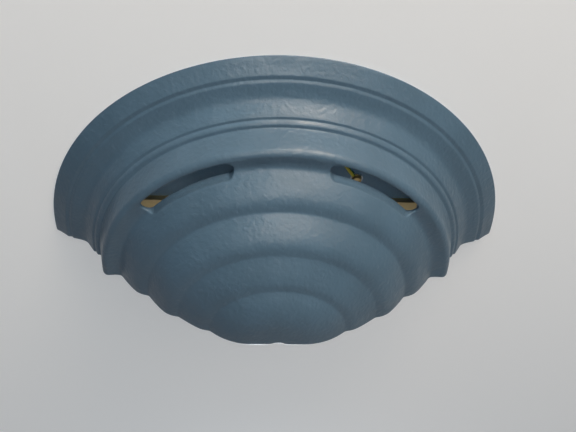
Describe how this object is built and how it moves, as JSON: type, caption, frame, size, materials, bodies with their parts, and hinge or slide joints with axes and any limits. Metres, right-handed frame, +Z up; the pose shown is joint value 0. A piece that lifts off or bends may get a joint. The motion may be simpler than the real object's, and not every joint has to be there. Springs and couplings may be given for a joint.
{
  "type": "motion sensor wall light",
  "caption": "Half-round wall light: a stepped, ribbed dome hood with vent slots over a lamp, open below, with a swivelling motion sensor under the nose.",
  "frame": {"origin": "on the wall plane, at the centre of the half-round hood's arcs, in the plane of its cut lower edge", "axes": "+X to the right as seen from in front, +Y into the wall, +Z up the wall"},
  "size_m": [0.301, 0.093, 0.1795],
  "materials": {
    "foam": "matte closed-cell foam",
    "plate_paint": "satin slate-blue paint on sheet steel",
    "grommet_rubber": "soft matte",
    "zinc_steel": "bright zinc plated",
    "yellow_zinc": "yellow passivated zinc plate",
    "white_plastic": "fine satin moulding",
    "brass": "plain turned",
    "earth_lead": "green and yellow insulation",
    "live_lead": "brown insulation",
    "neutral_lead": "blue insulation",
    "white_cable": "white sheath",
    "porcelain": "glazed",
    "hood_paint": "cast, under satin slate-blue paint with roller texture",
    "opal_globe": "opal, satin",
    "lamp_board": "white solder mask",
    "nickel_cap": "nickel plated",
    "black_insulator": "black glass-like insulator",
    "grey_plastic": "fine satin moulding",
    "lens_plastic": "milky, ribbed inside",
    "circuit_board": "green solder mask",
    "light_cell": "clear lacquer",
    "red_led": "clear tinted",
    "relay_plastic": "moulded blue",
    "capacitor_sleeve": "shrink sleeve"
  },
  "bodies": {
    "root": {"wall_gasket": "foam", "backplate": "plate_paint", "cable_grommet": "grommet_rubber", "stud_sockets": "zinc_steel", "bar_screws": "zinc_steel", "block_screws": "zinc_steel", "earth_tag": "zinc_steel", "lampholder_bracket": "zinc_steel", "bracket_rivets": "zinc_steel", "holder_screws": "zinc_steel", "arm_rivets": "zinc_steel", "crossbar": "yellow_zinc", "sensor_arm": "yellow_zinc", "terminal_block": "white_plastic", "terminal_screws": "brass", "earth_screw": "brass", "lampholder_shell": "brass", "lampholder_contact": "brass", "earth_lead": "earth_lead", "live_lead": "live_lead", "neutral_lead": "neutral_lead", "sensor_cable": "white_cable", "lampholder_body": "porcelain"},
    "hood": {"hood_shell": "hood_paint", "hood_studs": "zinc_steel"},
    "lamp": {"lamp_globe": "opal_globe", "lamp_body": "white_plastic", "lamp_board": "lamp_board", "lamp_cap": "nickel_cap", "lamp_insulator": "black_insulator", "lamp_contact": "nickel_cap"},
    "sensor_swivel": {"sensor_knuckle": "white_plastic", "pan_nut": "zinc_steel", "tilt_screw": "grey_plastic", "tilt_nut": "zinc_steel"},
    "sensor_head": {"sensor_housing": "white_plastic", "lens_ring": "white_plastic", "pir_lens": "lens_plastic", "sensor_board": "circuit_board", "detector_can": "nickel_cap", "light_cell": "light_cell", "status_led": "red_led", "relay": "relay_plastic", "capacitor": "capacitor_sleeve"},
    "time_knob": {"time_dial": "grey_plastic"},
    "lux_knob": {"lux_dial": "grey_plastic"},
    "range_knob": {"range_dial": "grey_plastic"}
  },
  "joints": [
    {"name": "hood_pull", "type": "slide", "parent": "root", "child": "hood", "axis": [0, -1, 0], "range_m": [0, 0.12]},
    {"name": "lamp_turn", "type": "hinge", "parent": "root", "child": "lamp", "pos_m": [0, -0.035, 0.045], "axis": [1, 0, 0], "continuous": true},
    {"name": "sensor_pan", "type": "hinge", "parent": "root", "child": "sensor_swivel", "pos_m": [0, -0.058, 0.014], "axis": [0, 0, 1], "range_deg": [-60, 60]},
    {"name": "sensor_tilt", "type": "hinge", "parent": "sensor_swivel", "child": "sensor_head", "pos_m": [0, -0.058, 0.005], "axis": [1, 0, 0], "range_deg": [-25, 30]},
    {"name": "time_turn", "type": "hinge", "parent": "sensor_head", "child": "time_knob", "pos_m": [-0.011, -0.0393, -0.018], "axis": [0, 0, 1], "range_deg": [-135, 135]},
    {"name": "lux_turn", "type": "hinge", "parent": "sensor_head", "child": "lux_knob", "pos_m": [0, -0.0393, -0.018], "axis": [0, 0, 1], "range_deg": [-135, 135]},
    {"name": "range_turn", "type": "hinge", "parent": "sensor_head", "child": "range_knob", "pos_m": [0.011, -0.0393, -0.018], "axis": [0, 0, 1], "range_deg": [-135, 135]}
  ]
}
